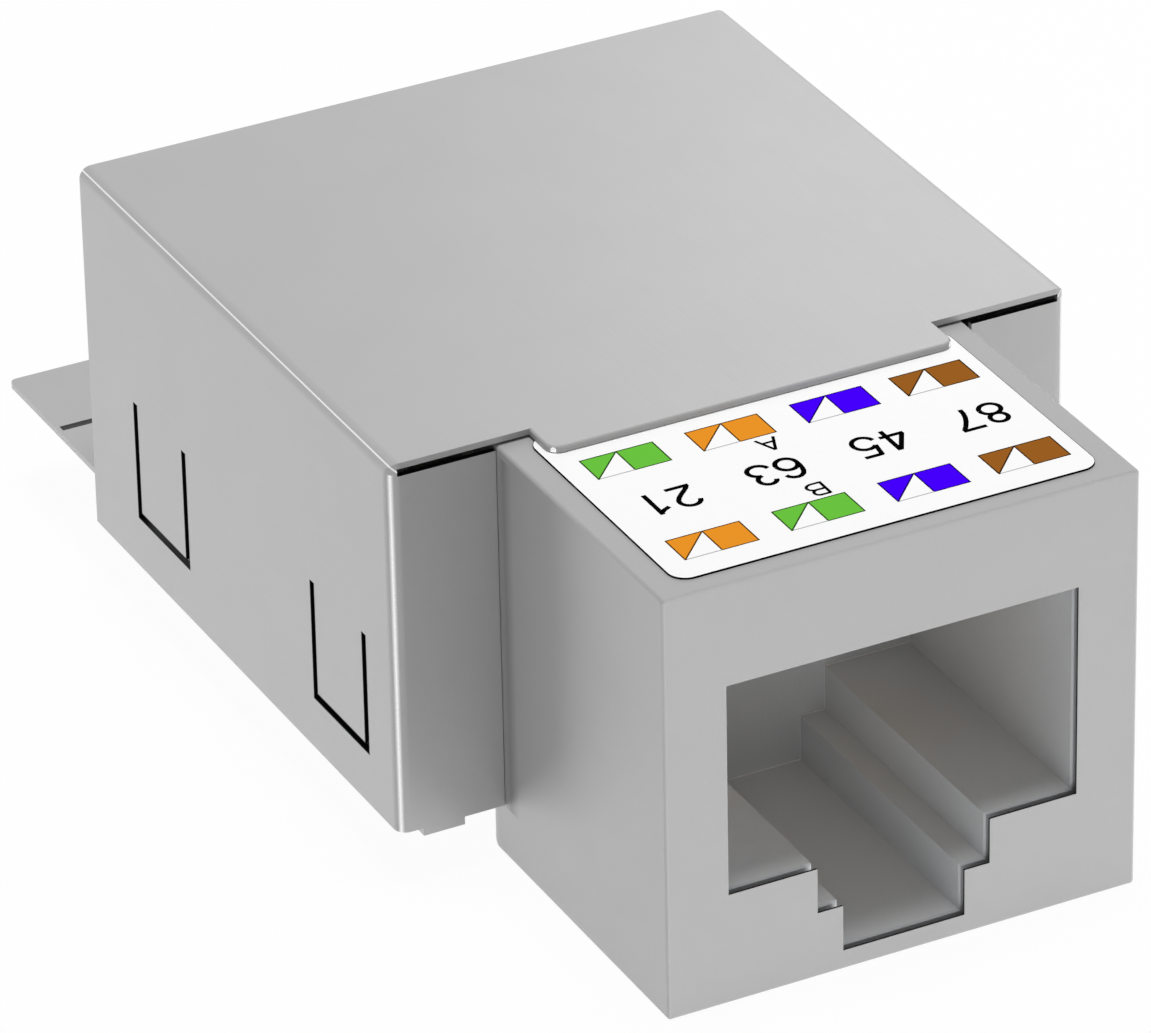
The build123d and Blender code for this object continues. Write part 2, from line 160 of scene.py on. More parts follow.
def dress(material, *names):
    for name in names:
        for place in nodes[name].material_slots:
            place.material = material
    print(material.name, "on", len(names), "piece(s)")


# %% [markdown]
# A mark is put in its place by a mask: a number that is 1 where the mark is and 0 elsewhere. It comes
# from where a point lies and which way its face looks, so it needs their three axes as numbers. Where
# real surfaces drift and speckle, cloudy noise gives that, and stretching the place first turns the
# clouds into grain.


# %% Axes, masks, mixes and noise
def axes(wire):
    """The three numbers of a place or a direction: across the part, towards the rear and up."""
    return [wire.node("SeparateXYZ", {}, {0: wire}, out=axis) for axis in "XYZ"]


def facing(wire):
    """The way a face looks, as the three numbers of its normal."""
    return axes(wire.node("NewGeometry", out="Normal"))


def between(wire, low, high):
    """1 where the value lies between two numbers, and 0 elsewhere."""
    return (wire > low) * (wire < high)


def mix(factor, a, b):
    """Colour a where the factor is 0 and colour b where it is 1."""
    first = (*a, 1) if isinstance(a, tuple) else a
    second = (*b, 1) if isinstance(b, tuple) else b
    return factor.node("Mix", {"data_type": "RGBA"}, {0: factor, 6: first, 7: second}, out=2)


def noise(place, scale, detail=2.0, rough=0.5):
    """Cloudy noise about 0.5, with scale in features for each millimetre."""
    look = {"Vector": place, "Scale": scale, "Detail": detail, "Roughness": rough}
    return place.node("TexNoise", {}, look)


def stretched(place, sx, sy, sz):
    """The same place with each axis stretched by its own factor."""
    return place.node("Mapping", {}, {"Vector": place, "Scale": (sx, sy, sz)})


# %% [markdown]
# The shield is thin sheet, plated after folding. Plated sheet could be a plain mirror metal, but real
# nickel over rolled sheet is a soft grey with a faint rolling grain. Three painted marks break that
# grey:
# a painted highlight along the middle of each bend, painted shade that makes the cut edges a little
# darker than the faces, and painted shade that makes the narrow cuts nearly black. All of them are found
# from the sheet's own sizes below.

# %% Sizes that the finishes share with the sheet
cover_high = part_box("shield_cover")[1]
tray_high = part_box("shield_tray")[1]
block_low, block_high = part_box("jack_housing")
BEND_R = 0.40
SHEET_T = 0.20
COVER_LENGTH = 22.15
COVER_HALF = cover_high[0] * MM
COVER_TOP = cover_high[2] * MM
COVER_REAR = cover_high[1] * MM
FLANGE_Y = COVER_REAR - COVER_LENGTH
FRONT_Y = block_low[1] * MM
BLOCK_HALF = 16.04 / 2
BLOCK_TOP = block_high[2] * MM
TAIL_Y = tray_high[1] * MM
print("cover half width", round(COVER_HALF, 2), "top", round(COVER_TOP, 2))
print("flange plane", round(FLANGE_Y, 2), "block front", round(FRONT_Y, 2), "top", round(BLOCK_TOP, 2))

# %% [markdown]
# A bend is a quarter of a round rod. Two numbers say where a point lies on it: each goes from 0 at one
# end of the bend to 1 at the other face. Halfway round they are equal, so their difference gives a
# line along the middle of the bend, wherever the sheet is folded. Along that line a highlight is painted
# into the colour, and the painted line on the upright bends is wider than the one along the top.


# %% The painted highlight line of a bend
LONG_HIGHLIGHT_WIDTH = 0.14
UPRIGHT_HIGHLIGHT_WIDTH = 0.40
HIGHLIGHT_CLEAR = 0.2


def rubbed_line(one, other, width):
    """1 along the middle of a bend, from its two distances in bend radii, and 0 away from it."""
    middle = (1.0 - abs(one - other) * (1.0 / width)).clamped()
    return middle * (one > HIGHLIGHT_CLEAR) * (other > HIGHLIGHT_CLEAR)


# %% [markdown]
# Cover and tray are cut from the same strip, so they share one skin. Most of it is a soft satin that
# scatters light; only a part of it mirrors the room. The grain is a noise drawn out along the sheet.

# %% The skin of the sheet
SHEET_LOW = (0.414, 0.414, 0.415)
SHEET_HIGH = (0.438, 0.438, 0.437)
SKIN_METAL = 0.25


def sheet_skin(name):
    material, tree, shader = new_finish(name, SHEET_HIGH, 0.42, SKIN_METAL)
    place = place_on_part(tree)
    cloud = noise(place, 0.35)
    grain = noise(stretched(place, 6.0, 0.25, 6.0), 1.6, 3.0, 0.6)
    relief(grain, shader, 0.004)
    return material, shader, place, mix(cloud, SHEET_LOW, SHEET_HIGH), 0.38 + grain * 0.10


# %% [markdown]
# On the cover a bright highlight is painted along each bend line, where the metal is also made smoother
# and fully metallic. The front edge of the top plate and of its lip shows the thickness of the sheet,
# cut, with painted shade that makes it a little darker, and the rounded corners of the lip get a painted
# highlight like a bend. The spring tabs are cut out by three slits, and a fourth one runs between the
# flange and the top plate. They are too narrow for light, so painted shade makes what can be seen inside
# them a nearly black metal, which has no pale gloss of its own. The painted shade also reaches a little
# past each slit, so that a narrow rim beside it is as dark as the cut. Every mask reaches a hair past
# its size, so that a face which lies right on the size is in it.

# %% Plated cover
PAINTED_HIGHLIGHT_WHITE = (0.97, 0.97, 0.97)
PAINTED_EDGE_SHADE = (0.400, 0.400, 0.400)
PAINTED_SLIT_BLACK = (0.015, 0.015, 0.015)
HIGHLIGHT_SMOOTHING = 0.22
SHEAR_MARKS = 0.15
TAB_LOW = 3.70
TAB_HIGH = 7.90
TAB_HALF = 1.925
TAB_SLIT = 0.25
TAB_TO_FLANGE = 1.98
TAB_TO_REAR = 3.42
TAB_MIDDLE = (FLANGE_Y + TAB_TO_FLANGE + COVER_REAR - TAB_TO_REAR) / 2
TAB_APART = (COVER_LENGTH - TAB_TO_FLANGE - TAB_TO_REAR) / 2 - TAB_HALF
SHADE_MARGIN = 0.035
HAIR = 0.01
TURNED = 0.5
CORNER_TURNED = 0.55
LIP_START = 0.05
FLANGE_TOP_LOW = 1.5
FLANGE_TOP_HIGH = 0.3


def plated_cover():
    material, shader, place, tone, rough = sheet_skin("plated_cover_sheet")
    x, y, z = axes(place)
    sideways, back, up = facing(place)
    side = (abs(x) - (COVER_HALF - BEND_R)) * (1 / BEND_R)
    top = (z - (COVER_TOP - BEND_R)) * (1 / BEND_R)
    front = (FLANGE_Y + BEND_R - y) * (1 / BEND_R)
    on_walls = z < COVER_TOP - BEND_R
    on_plate = z > COVER_TOP - SHEET_T - HAIR
    on_lip = on_plate * (y < FLANGE_Y - LIP_START)
    # Painted highlight: near-white colour along the bend lines and at the lip's rounded corners.
    lip_corner_highlight = on_lip * (abs(sideways) > CORNER_TURNED) * (back < -CORNER_TURNED)
    upright_highlight = rubbed_line(side, front, UPRIGHT_HIGHLIGHT_WIDTH) * on_walls
    painted_highlight = (rubbed_line(side, top, LONG_HIGHLIGHT_WIDTH) + upright_highlight + lip_corner_highlight).clamped()
    sheared = ((back < -TURNED) * on_plate + (abs(sideways) > TURNED) * on_lip).clamped()
    # Painted shade: the cut front edges of the plate and lip are mixed a little darker.
    tone = mix(sheared, tone, PAINTED_EDGE_SHADE)
    tone = mix(painted_highlight, tone, PAINTED_HIGHLIGHT_WHITE)
    # Painted shade: the tab slits with a narrow rim beside them, and the slit under the top plate, are
    # made nearly black metal.
    from_tab = abs(abs(y - TAB_MIDDLE) - TAB_APART)
    tongue = (from_tab < TAB_HALF - TAB_SLIT - SHADE_MARGIN) * (z > TAB_LOW + TAB_SLIT + SHADE_MARGIN)
    window = (from_tab < TAB_HALF + SHADE_MARGIN) * between(z, TAB_LOW - SHADE_MARGIN, TAB_HIGH + HAIR)
    tab_slit = window * (1 - tongue) * (abs(x) > COVER_HALF - SHEET_T - 2 * HAIR)
    flange_top = (up > TURNED) * between(z, COVER_TOP - FLANGE_TOP_LOW, COVER_TOP - FLANGE_TOP_HIGH)
    in_flange = between(y, FLANGE_Y - HAIR, FLANGE_Y + SHEET_T + HAIR)
    painted_shade = (tab_slit + flange_top * in_flange).clamped()
    feed(mix(painted_shade, tone, PAINTED_SLIT_BLACK), shader, "Base Color")
    feed(rough - painted_highlight * HIGHLIGHT_SMOOTHING + sheared * SHEAR_MARKS, shader, "Roughness")
    feed(SKIN_METAL + (painted_highlight + painted_shade).clamped() * (1.0 - SKIN_METAL), shader, "Metallic")
    return material


dress(plated_cover(), "shield_cover")

# %% [markdown]
# The tray stands just inside the cover. Painted shade makes the outer faces of the tray's walls, where
# the two sheets lie together, nearly black, and only the slits show them. The slit across the tongue is
# wide enough to let some light in, and painted shade makes its cut faces a dark grey.

# %% Plated tray
SHEET_GAP = 0.04
PAINTED_LAP_SHADE = (0.02, 0.02, 0.02)
PAINTED_SLIT_GREY = (0.10, 0.10, 0.10)
WALL_END = 0.1
TONGUE_SLIT = 0.30
TONGUE_SLIT_TO_END = 3.70
SLIT_REACH = 0.05


def plated_tray():
    material, shader, place, tone, rough = sheet_skin("plated_tray_sheet")
    x, y = axes(place)[:2]
    sideways, back = facing(place)[:2]
    wall_face = COVER_HALF - SHEET_T - SHEET_GAP
    on_face = between(abs(x), wall_face - 2 * HAIR, wall_face + 2 * HAIR) * (abs(sideways) > TURNED)
    # Painted shade: near-black on the outer faces of the tray's walls, dark grey on the tongue slit's
    # cut faces.
    lap_shade = on_face * (y < COVER_REAR - WALL_END)
    slit_rear = TAIL_Y - TONGUE_SLIT_TO_END
    in_slit = between(y, slit_rear - TONGUE_SLIT - SLIT_REACH, slit_rear + SLIT_REACH)
    tongue_slit_shade = in_slit * (abs(back) > TURNED)
    painted_shade = (lap_shade + tongue_slit_shade).clamped()
    feed(mix(tongue_slit_shade, mix(lap_shade, tone, PAINTED_LAP_SHADE), PAINTED_SLIT_GREY), shader, "Base Color")
    feed(SKIN_METAL + painted_shade * (1.0 - SKIN_METAL), shader, "Metallic")
    feed(rough, shader, "Roughness")
    return material


dress(plated_tray(), "shield_tray")

# %% [markdown]
# The block is cast metal under the same plating. A casting has no rolling grain: its skin is slightly
# uneven all over, with tiny pits that the plating rounds off. Two sizes of noise make that, one for
# the broad unevenness and one for the skin. Its skin is duller than the sheet's, so its edges don't
# glint, but painted light makes the small rounding of its upright edges a little lighter. Painted shade
# makes the pocket behind the mouth nearly black, and painted shade darkens the block's side in the
# inside corner against the flange.

# %% Plated casting
PAINTED_CREASE_SHADE = (0.10, 0.10, 0.10)
PAINTED_POCKET_SHADE = (0.020, 0.020, 0.020)
PAINTED_EDGE_LIGHT = (0.510, 0.510, 0.510)
EDGE_TURNED = 0.25
MOUTH_RIM = 0.015
POCKET_WALL = 0.5
POCKET_FLOOR = 0.2
CORNER_AHEAD = 0.40
CORNER_REACH = 0.55
CORNER_SHADE = 0.42
CORNER_LOW = 1.8
CORNER_TOP = BLOCK_TOP - 0.3


def plated_casting():
    material, tree, shader = new_finish("plated_casting", SHEET_HIGH, 0.55, 0.12)
    shader.inputs["Specular IOR Level"].default_value = 0.15
    place = place_on_part(tree)
    x, y, z = axes(place)
    sideways, back, up = facing(place)
    broad = noise(place, 0.30)
    skin = noise(place, 7.0, 3.0, 0.6)
    to_side_and_end = (abs(sideways) > EDGE_TURNED) * (abs(back) > EDGE_TURNED)
    edge_light_mask = to_side_and_end * (abs(up) < EDGE_TURNED)
    # Painted light: the rounding of the upright edges is mixed lighter.
    tone = mix(edge_light_mask, mix(broad, SHEET_LOW, SHEET_HIGH), PAINTED_EDGE_LIGHT)
    # Painted shade: the pocket behind the mouth is made nearly black.
    inside = (abs(x) < BLOCK_HALF - POCKET_WALL) * between(z, POCKET_FLOOR, BLOCK_TOP - POCKET_WALL)
    pocket_shade = inside * (y > FRONT_Y + MOUTH_RIM)
    # Painted shade: the block's side is darkened in the inside corner against the flange.
    nearness = (1.0 - abs(FLANGE_Y - y - CORNER_AHEAD) * (1 / CORNER_REACH)).clamped()
    crease_shade = nearness * (abs(x) > BLOCK_HALF - 2 * HAIR) * between(z, CORNER_LOW, CORNER_TOP)
    tone = mix(crease_shade * CORNER_SHADE, tone, PAINTED_CREASE_SHADE)
    feed(mix(pocket_shade, tone, PAINTED_POCKET_SHADE), shader, "Base Color")
    feed(0.50 + skin * 0.10, shader, "Roughness")
    relief(skin, shader, 0.006)
    return material


dress(plated_casting(), "jack_housing")

# %% [markdown]
# The insert in the port is grey moulded plastic with a fine sparked grain. Its colour stays nearly
# even: the port looks dark because little light reaches it, and painting that darkness in would be
# wrong from any other side. A faint light line round the port's far end, just in front of its back
# wall, is a painted highlight. The terminal block inside is ivory plastic of the same kind, and it has
# no face that far forward, so one function serves both.


# %% Moulded plastics
PORT_BACK_Y = FRONT_Y + 10.40
HIGHLIGHT_BAND = 0.07
PAINTED_LINE_HIGHLIGHT = (0.95, 0.95, 0.95)


def moulded(name, low, high, roughness, grain_scale, grain_depth):
    material, tree, shader = new_finish(name, high, roughness, 0.0)
    place = place_on_part(tree)
    y = axes(place)[1]
    grain = noise(place, grain_scale, 3.0, 0.65)
    flow = noise(stretched(place, 1.0, 0.3, 1.0), 0.5)
    # Painted highlight: a near-white band just in front of the port's back wall.
    back_edge_highlight = between(y, PORT_BACK_Y - HIGHLIGHT_BAND, PORT_BACK_Y - HAIR / 2)
    tone = mix((grain * 0.6 + flow * 0.4).clamped(), low, high)
    feed(mix(back_edge_highlight, tone, PAINTED_LINE_HIGHLIGHT), shader, "Base Color")
    feed(roughness - 0.05 + grain * 0.12, shader, "Roughness")
    relief(grain, shader, grain_depth)
    return material


INSERT_LOW = (0.640, 0.653, 0.672)
INSERT_HIGH = (0.690, 0.703, 0.722)
IVORY_LOW = (0.66, 0.65, 0.60)
IVORY_HIGH = (0.74, 0.73, 0.69)
dress(moulded("insert_plastic", INSERT_LOW, INSERT_HIGH, 0.60, 9.0, 0.010), "port_insert")
dress(moulded("terminal_plastic", IVORY_LOW, IVORY_HIGH, 0.45, 6.0, 0.006), "terminal_block")

# %% [markdown]
# The spring contacts are gold over nickel, and the forks are tinned bronze. Both are strip metal, so
# a fine lengthwise grain and a slow drift of colour are enough; the shape does the rest.


# %% Contact metals
def strip_metal(name, low, high, roughness):
    material, tree, shader = new_finish(name, high, roughness, 1.0)
    place = place_on_part(tree)
    drift = noise(place, 0.8)
    grain = noise(stretched(place, 20.0, 1.0, 1.0), 1.5, 2.0)
    feed(mix(drift, low, high), shader, "Base Color")
    feed(roughness - 0.04 + grain * 0.10, shader, "Roughness")
    relief(grain, shader, 0.003)
    return material


WAYS = range(1, 9)
gold = strip_metal("gold_plate", (0.80, 0.55, 0.20), (0.90, 0.66, 0.30), 0.25)
tin = strip_metal("tin_plate", (0.66, 0.64, 0.60), (0.76, 0.74, 0.70), 0.32)
dress(gold, *["contact_spring_" + str(way) for way in WAYS])
dress(tin, *["fork_contact_" + str(way) for way in WAYS])

# %% [markdown]
# The circuit board has green resist over woven glass. The weave shows as a faint square ripple, and
# copper runs show a little lighter under the resist where each pair crosses from the springs to the
# forks. Stripes by the sine of X make the runs without drawing each one.

# %% Circuit board
RESIST_LOW = (0.016, 0.130, 0.055)
RESIST_HIGH = (0.024, 0.170, 0.075)
OVER_COPPER = (0.060, 0.270, 0.110)
WEAVE_TURNS = 9.0
RUN_PITCH = 2.5
RUN_EDGE = 0.55
RUNS_FRONT = FLANGE_Y + 6.5
RUNS_REAR = FLANGE_Y + 12.0


def board_laminate():
    material, tree, shader = new_finish("board_resist", (0.02, 0.16, 0.07), 0.35, 0.0)
    x, y = axes(place_on_part(tree))[:2]
    weave_x = x.math("SINE", x * WEAVE_TURNS)
    weave_y = y.math("SINE", y * WEAVE_TURNS)
    weave = weave_x * weave_y * 0.5 + 0.5
    runs = x.math("SINE", x * (2 * math.pi / RUN_PITCH)) > RUN_EDGE
    resist = mix(weave, RESIST_LOW, RESIST_HIGH)
    feed(mix(runs * between(y, RUNS_FRONT, RUNS_REAR), resist, OVER_COPPER), shader, "Base Color")
    relief(weave, shader, 0.004)
    shader.inputs["Coat Weight"].default_value = 0.4
    return material


dress(board_laminate(), "circuit_board")

# %% [markdown]
# The wiring label is white film with eight colour flags, four for each of two wiring orders. Each flag
# is a rectangle: its right half is one solid colour, and its left half is cut by a diagonal into a
# coloured and a white triangle, for the solid and the striped wire of a pair. The flags could be
# meshes, but print has no thickness to speak of, so they are drawn in the shader from their real
# places in millimetres, and they stay sharp at any distance.

# %% Places and colours of the flags
FLAG_W = 2.44
FLAG_H = 1.26
FLAG_LEFTS = (-6.33, -2.79, 0.775, 4.195)
ROW_A_REAR = FRONT_Y + 8.485
ROW_B_REAR = FRONT_Y + 3.00
INK_LINE = 0.05
GREEN = (0.145, 0.548, 0.051)
ORANGE = (0.825, 0.296, 0.021)
BLUE = (0.059, 0.0, 0.97)
BROWN = (0.320, 0.111, 0.016)
ROW_A = (GREEN, ORANGE, BLUE, BROWN)
ROW_B = (ORANGE, GREEN, BLUE, BROWN)
OUTLINE_SHARE = 0.12
BASE_LINE = (0.45, 0.45, 0.45)
print("flags in each row:", len(FLAG_LEFTS), "each in mm:", FLAG_W, "by", FLAG_H)

# %% [markdown]
# A flag is built up in layers: the colour, then a dark shade of the same colour as its outline, and
# last a grey line under the white triangle. Each layer is a mix over what is there already, so the
# flags can be laid on the film one after another.


# %% One flag
def flag(x, y, left, rear, colour, under):
    """One flag over what is under it, from its left and rear edges."""
    across = x - left
    down = rear - y
    slant = across * (2 * FLAG_H / FLAG_W) + down - FLAG_H
    left_half = across < FLAG_W / 2
    inside = between(across, 0.0, FLAG_W) * between(down, 0.0, FLAG_H)
    white = (slant > 0.0) * left_half
    half_line = INK_LINE / 2
    off_middle = abs(across - FLAG_W / 2)
    off_centre = abs(down - FLAG_H / 2)
    near_side = abs(off_middle - FLAG_W / 2) < half_line
    near_end = abs(off_centre - FLAG_H / 2) < half_line
    near_middle = off_middle < half_line
    near_slant = left_half * (abs(slant) < half_line * math.hypot(2 * FLAG_H / FLAG_W, 1.0))
    line = (near_side + near_end + near_middle + near_slant).clamped()
    field = (off_middle < FLAG_W / 2 + half_line) * (off_centre < FLAG_H / 2 + half_line)
    base = left_half * (slant > half_line * 2) * (down > FLAG_H - half_line)
    filled = mix(inside * (1 - white), under, colour)
    outlined = mix(field * line, filled, tuple(v * OUTLINE_SHARE for v in colour))
    return mix(field * base, outlined, BASE_LINE)


# %% [markdown]
# The film is cut to its shape by a steel rule. Painted shade shows its cut edge as a thin black line
# all round, and painted shade makes the film's own thin side faces black too. The distance to a rounded
# rectangle gives that line. Film and print are dead matt, so they have no gloss at all.

# %% Printed label
label_low, label_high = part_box("wiring_label")
PAPER_LOW = (0.95, 0.95, 0.95)
PAPER_HIGH = (0.98, 0.98, 0.98)
INK_AND_EDGE_SHADE = (0.005, 0.005, 0.005)
LABEL_CORNER_R = 0.60
EDGE_SHADE_WIDTH = 0.018


def printed_label():
    material, tree, shader = new_finish("printed_label", PAPER_LOW, 0.60, 0.0)
    shader.inputs["Specular IOR Level"].default_value = 0.0
    place = place_on_part(tree)
    x, y = axes(place)[:2]
    fibre = noise(place, 5.0, 3.0, 0.6)
    sheet = mix(fibre, PAPER_LOW, PAPER_HIGH)
    for left, colour in zip(FLAG_LEFTS, ROW_A):
        sheet = flag(x, y, left, ROW_A_REAR, colour, sheet)
    for left, colour in zip(FLAG_LEFTS, ROW_B):
        sheet = flag(x, y, left, ROW_B_REAR, colour, sheet)
    low, high = label_low * MM, label_high * MM
    beyond_x = abs(x - (low[0] + high[0]) / 2) - ((high[0] - low[0]) / 2 - LABEL_CORNER_R)
    beyond_y = abs(y - (low[1] + high[1]) / 2) - ((high[1] - low[1]) / 2 - LABEL_CORNER_R)
    out_x = beyond_x.larger(0.0)
    out_y = beyond_y.larger(0.0)
    reach = x.math("SQRT", out_x * out_x + out_y * out_y) + beyond_x.larger(beyond_y).smaller(0.0)
    up = facing(place)[2]
    # Painted shade: a thin black line round the label's edge, and black side faces.
    edge_shade_line = ((reach > LABEL_CORNER_R - EDGE_SHADE_WIDTH) + (up < TURNED)).clamped()
    feed(mix(edge_shade_line, sheet, INK_AND_EDGE_SHADE), shader, "Base Color")
    relief(fibre, shader, 0.0015)
    return material


dress(printed_label(), "wiring_label")

# %% [markdown]
# The way numbers and the two row letters are black print in a light plain type. Ready-made text is
# quick, but its strokes are too heavy and its 1 has no flag. So each figure is drawn the way a plotter
# would: a few middle lines in a box one unit high, straight or along a piece of an ellipse, and every
# line is then given the same width. Plain numbers and single letters are all that is printed.


# %% Middle lines of the figures
def bow(cx, cy, rx, ry, start, end):
    """Points along a piece of an ellipse, from one angle to another in degrees."""
    steps = max(2, round(abs(end - start) / 12))
    turns = [math.radians(start + (end - start) * i / steps) for i in range(steps + 1)]
    return [(cx + rx * math.cos(turn), cy + ry * math.sin(turn)) for turn in turns]


FIGURES = {
    "1": [[(0.31, 0.0), (0.31, 1.0)], [(0.33, 0.95), (0.20, 0.83), (0.02, 0.745)]],
    "2": [
        bow(0.31, 0.705, 0.255, 0.247, 172, -25)
        + [(0.475, 0.495), (0.36, 0.375), (0.22, 0.25), (0.115, 0.14), (0.062, 0.048)],
        [(0.01, 0.048), (0.62, 0.048)],
    ],
    "3": [bow(0.285, 0.735, 0.215, 0.217, 165, -85), bow(0.29, 0.290, 0.270, 0.242, 85, -172)],
    "4": [[(0.44, 0.98), (0.045, 0.28)], [(0.01, 0.28), (0.64, 0.28)], [(0.46, 0.0), (0.46, 1.0)]],
    "5": [
        [(0.13, 0.952), (0.59, 0.952)],
        [(0.155, 0.98), (0.085, 0.50)],
        bow(0.30, 0.334, 0.280, 0.286, 142, -168),
    ],
    "6": [
        bow(0.32, 0.315, 0.265, 0.267, 0, 360),
        [(0.565, 0.77), (0.53, 0.86), (0.46, 0.92), (0.35, 0.952), (0.25, 0.93)]
        + [(0.165, 0.865), (0.105, 0.76), (0.07, 0.62), (0.055, 0.47), (0.055, 0.32)],
    ],
    "7": [
        [(0.0, 0.952), (0.61, 0.952)],
        [(0.575, 0.93), (0.45, 0.76), (0.335, 0.57), (0.25, 0.38), (0.20, 0.19), (0.185, 0.0)],
    ],
    "8": [bow(0.31, 0.745, 0.215, 0.207, 0, 360), bow(0.31, 0.293, 0.265, 0.245, 0, 360)],
    "A": [[(0.045, 0.0), (0.442, 0.98)], [(0.839, 0.0), (0.442, 0.98)], [(0.19, 0.34), (0.70, 0.34)]],
    "B": [
        [(0.055, 0.0), (0.055, 1.0)],
        [(0.055, 0.945)] + bow(0.42, 0.740, 0.22, 0.205, 90, -90) + [(0.055, 0.535)],
        [(0.055, 0.535)] + bow(0.44, 0.295, 0.29, 0.240, 90, -90) + [(0.055, 0.055)],
    ],
}
print("figures drawn:", " ".join(FIGURES))


# %% [markdown]
# A middle line becomes a ribbon: at every point the two edges stand off square to the line, and at a
# corner a little farther, so that the width stays even round it.


# %% A line of even width
def ribbon(points, width):
    """Corners of a ribbon along a middle line, first all on its left edge and then all on its right."""
    path = [Vector(point) for point in points]
    legs = [(after - before).normalized() for before, after in zip(path, path[1:])]
    left, right = [], []
    for i, spot in enumerate(path):
        arriving = legs[max(i - 1, 0)]
        leaving = legs[min(i, len(legs) - 1)]
        along = (arriving + leaving).normalized()
        off = Vector((-along.y, along.x)) * (width / 2 / max(along.dot(leaving), 0.5))
        left.append(spot + off)
        right.append(spot - off)
    return left + right


# %% [markdown]
# Each figure is one thin mesh just above the film, turned to be read from the cable end. Its place is
# the corner where the reader would start it: the lower left one.

# %% Black print
INK_LEVEL = label_high[2] * MM + 0.003
BLACK_LOW = (0.001, 0.001, 0.001)
BLACK_HIGH = (0.003, 0.003, 0.003)
DIGIT_HEIGHT = 1.295
DIGIT_STROKE = 0.124
DIGIT_BASE = FRONT_Y + 5.725
DIGITS = (
    ("8", 6.32), ("7", 5.34), ("4", 2.96), ("5", 1.955),
    ("6", -0.63), ("3", -1.60), ("2", -4.155), ("1", -5.24),
)
LETTER_HEIGHT = 0.78
LETTER_STROKE = 0.130
LETTERS = (("A", -0.54, FRONT_Y + 7.03), ("B", -0.655, FRONT_Y + 3.94))


def black_ink():
    material, tree, shader = new_finish("black_ink", INK_AND_EDGE_SHADE, 0.60, 0.0)
    shader.inputs["Specular IOR Level"].default_value = 0.0
    feed(mix(noise(place_on_part(tree), 6.0), BLACK_LOW, BLACK_HIGH), shader, "Base Color")
    return material


ink = black_ink()


def print_figure(figure, left_mm, base_mm, height_mm, stroke):
    """One figure in black, from its lower left corner as the reader sees it."""
    corners, faces = [], []
    for points in FIGURES[figure]:
        first = len(corners)
        count = len(points)
        corners += ribbon(points, stroke)
        for i in range(first, first + count - 1):
            faces.append((i, i + count, i + count + 1, i + 1))
    places = [(left_mm - c.x * height_mm, base_mm - c.y * height_mm, INK_LEVEL) for c in corners]
    mesh = bpy.data.meshes.new("print_" + figure)
    mesh.from_pydata([Vector(place) / MM for place in places], [], faces)
    mesh.materials.append(ink)
    piece = bpy.data.objects.new("print_" + figure, mesh)
    bpy.context.collection.objects.link(piece)
    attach(piece, "root")
    return len(faces)


drawn = 0
for figure, left in DIGITS:
    drawn += print_figure(figure, left, DIGIT_BASE, DIGIT_HEIGHT, DIGIT_STROKE)
for figure, left, base in LETTERS:
    drawn += print_figure(figure, left, base, LETTER_HEIGHT, LETTER_STROKE)
print("faces of black print:", drawn)

# %% [markdown]
# The part lies on a light table, a plain pale sheet of opal glass. A closed floor would be simpler, but
# it leaves the undersides dark, and here every low edge is lit from beneath. So the sheet glows a
# little for light that has bounced off the part, and it lets the lamps under it through. For the
# camera and for reflections it is nearly plain white, with the soft shadow still on it, so that the
# ground reads white without more light on the part. From below it is clear, so that the underside can
# be looked at too. It lies a hair under the part, so that the two never share a plane.

# %% Light table
TABLE_HALF = 1.5
TABLE_LEVEL = cad_low[2] - 0.00002
TABLE_WHITE = 0.95
TABLE_GLOW = 0.25


def light_table():
    half = TABLE_HALF
    mesh = bpy.data.meshes.new("light_table")
    corners = [(-half, -half), (half, -half), (half, half), (-half, half)]
    mesh.from_pydata([(cx, cy, TABLE_LEVEL) for cx, cy in corners], [], [(0, 1, 2, 3)])
    table = bpy.data.objects.new("light_table", mesh)
    table.visible_shadow = False
    bpy.context.collection.objects.link(table)
    material, tree, shader = new_finish("opal_glass", (0.86, 0.86, 0.86), 0.8, 0.0)
    start = Wire(tree, None)
    camera_ray = start.node("LightPath", out="Is Camera Ray")
    glossy_ray = start.node("LightPath", out="Is Glossy Ray")
    clear_ray = start.node("LightPath", out="Is Transmission Ray")
    bounced_ray = start.node("LightPath", out="Is Diffuse Ray")
    seen = (camera_ray + glossy_ray + clear_ray).clamped()
    white = start.node("Emission", {}, {"Color": (1, 1, 1, 1), "Strength": 1.0})
    surface = Wire(tree, shader.outputs[0])
    share = seen * TABLE_WHITE + bounced_ray * TABLE_GLOW
    lit = start.node("MixShader", {}, {0: share, 1: surface, 2: white})
    from_below = start.node("NewGeometry", out="Backfacing")
    clear = start.node("BsdfTransparent")
    both = start.node("MixShader", {}, {0: from_below, 1: lit, 2: clear})
    output = tree.nodes["Material Output"]
    tree.links.new(both.socket, output.inputs["Surface"])
    mesh.materials.append(material)
    print("light table in m:", 2 * half, "square")


light_table()

# %% [markdown]
# The world fills the shadows with even light. It could light the whole part, but then every side would
# have the same tone and no side would turn. So only a quarter of white lights the part, while the
# camera and the reflections see full white behind it.

# %% World
WORLD_LIGHT = 0.255


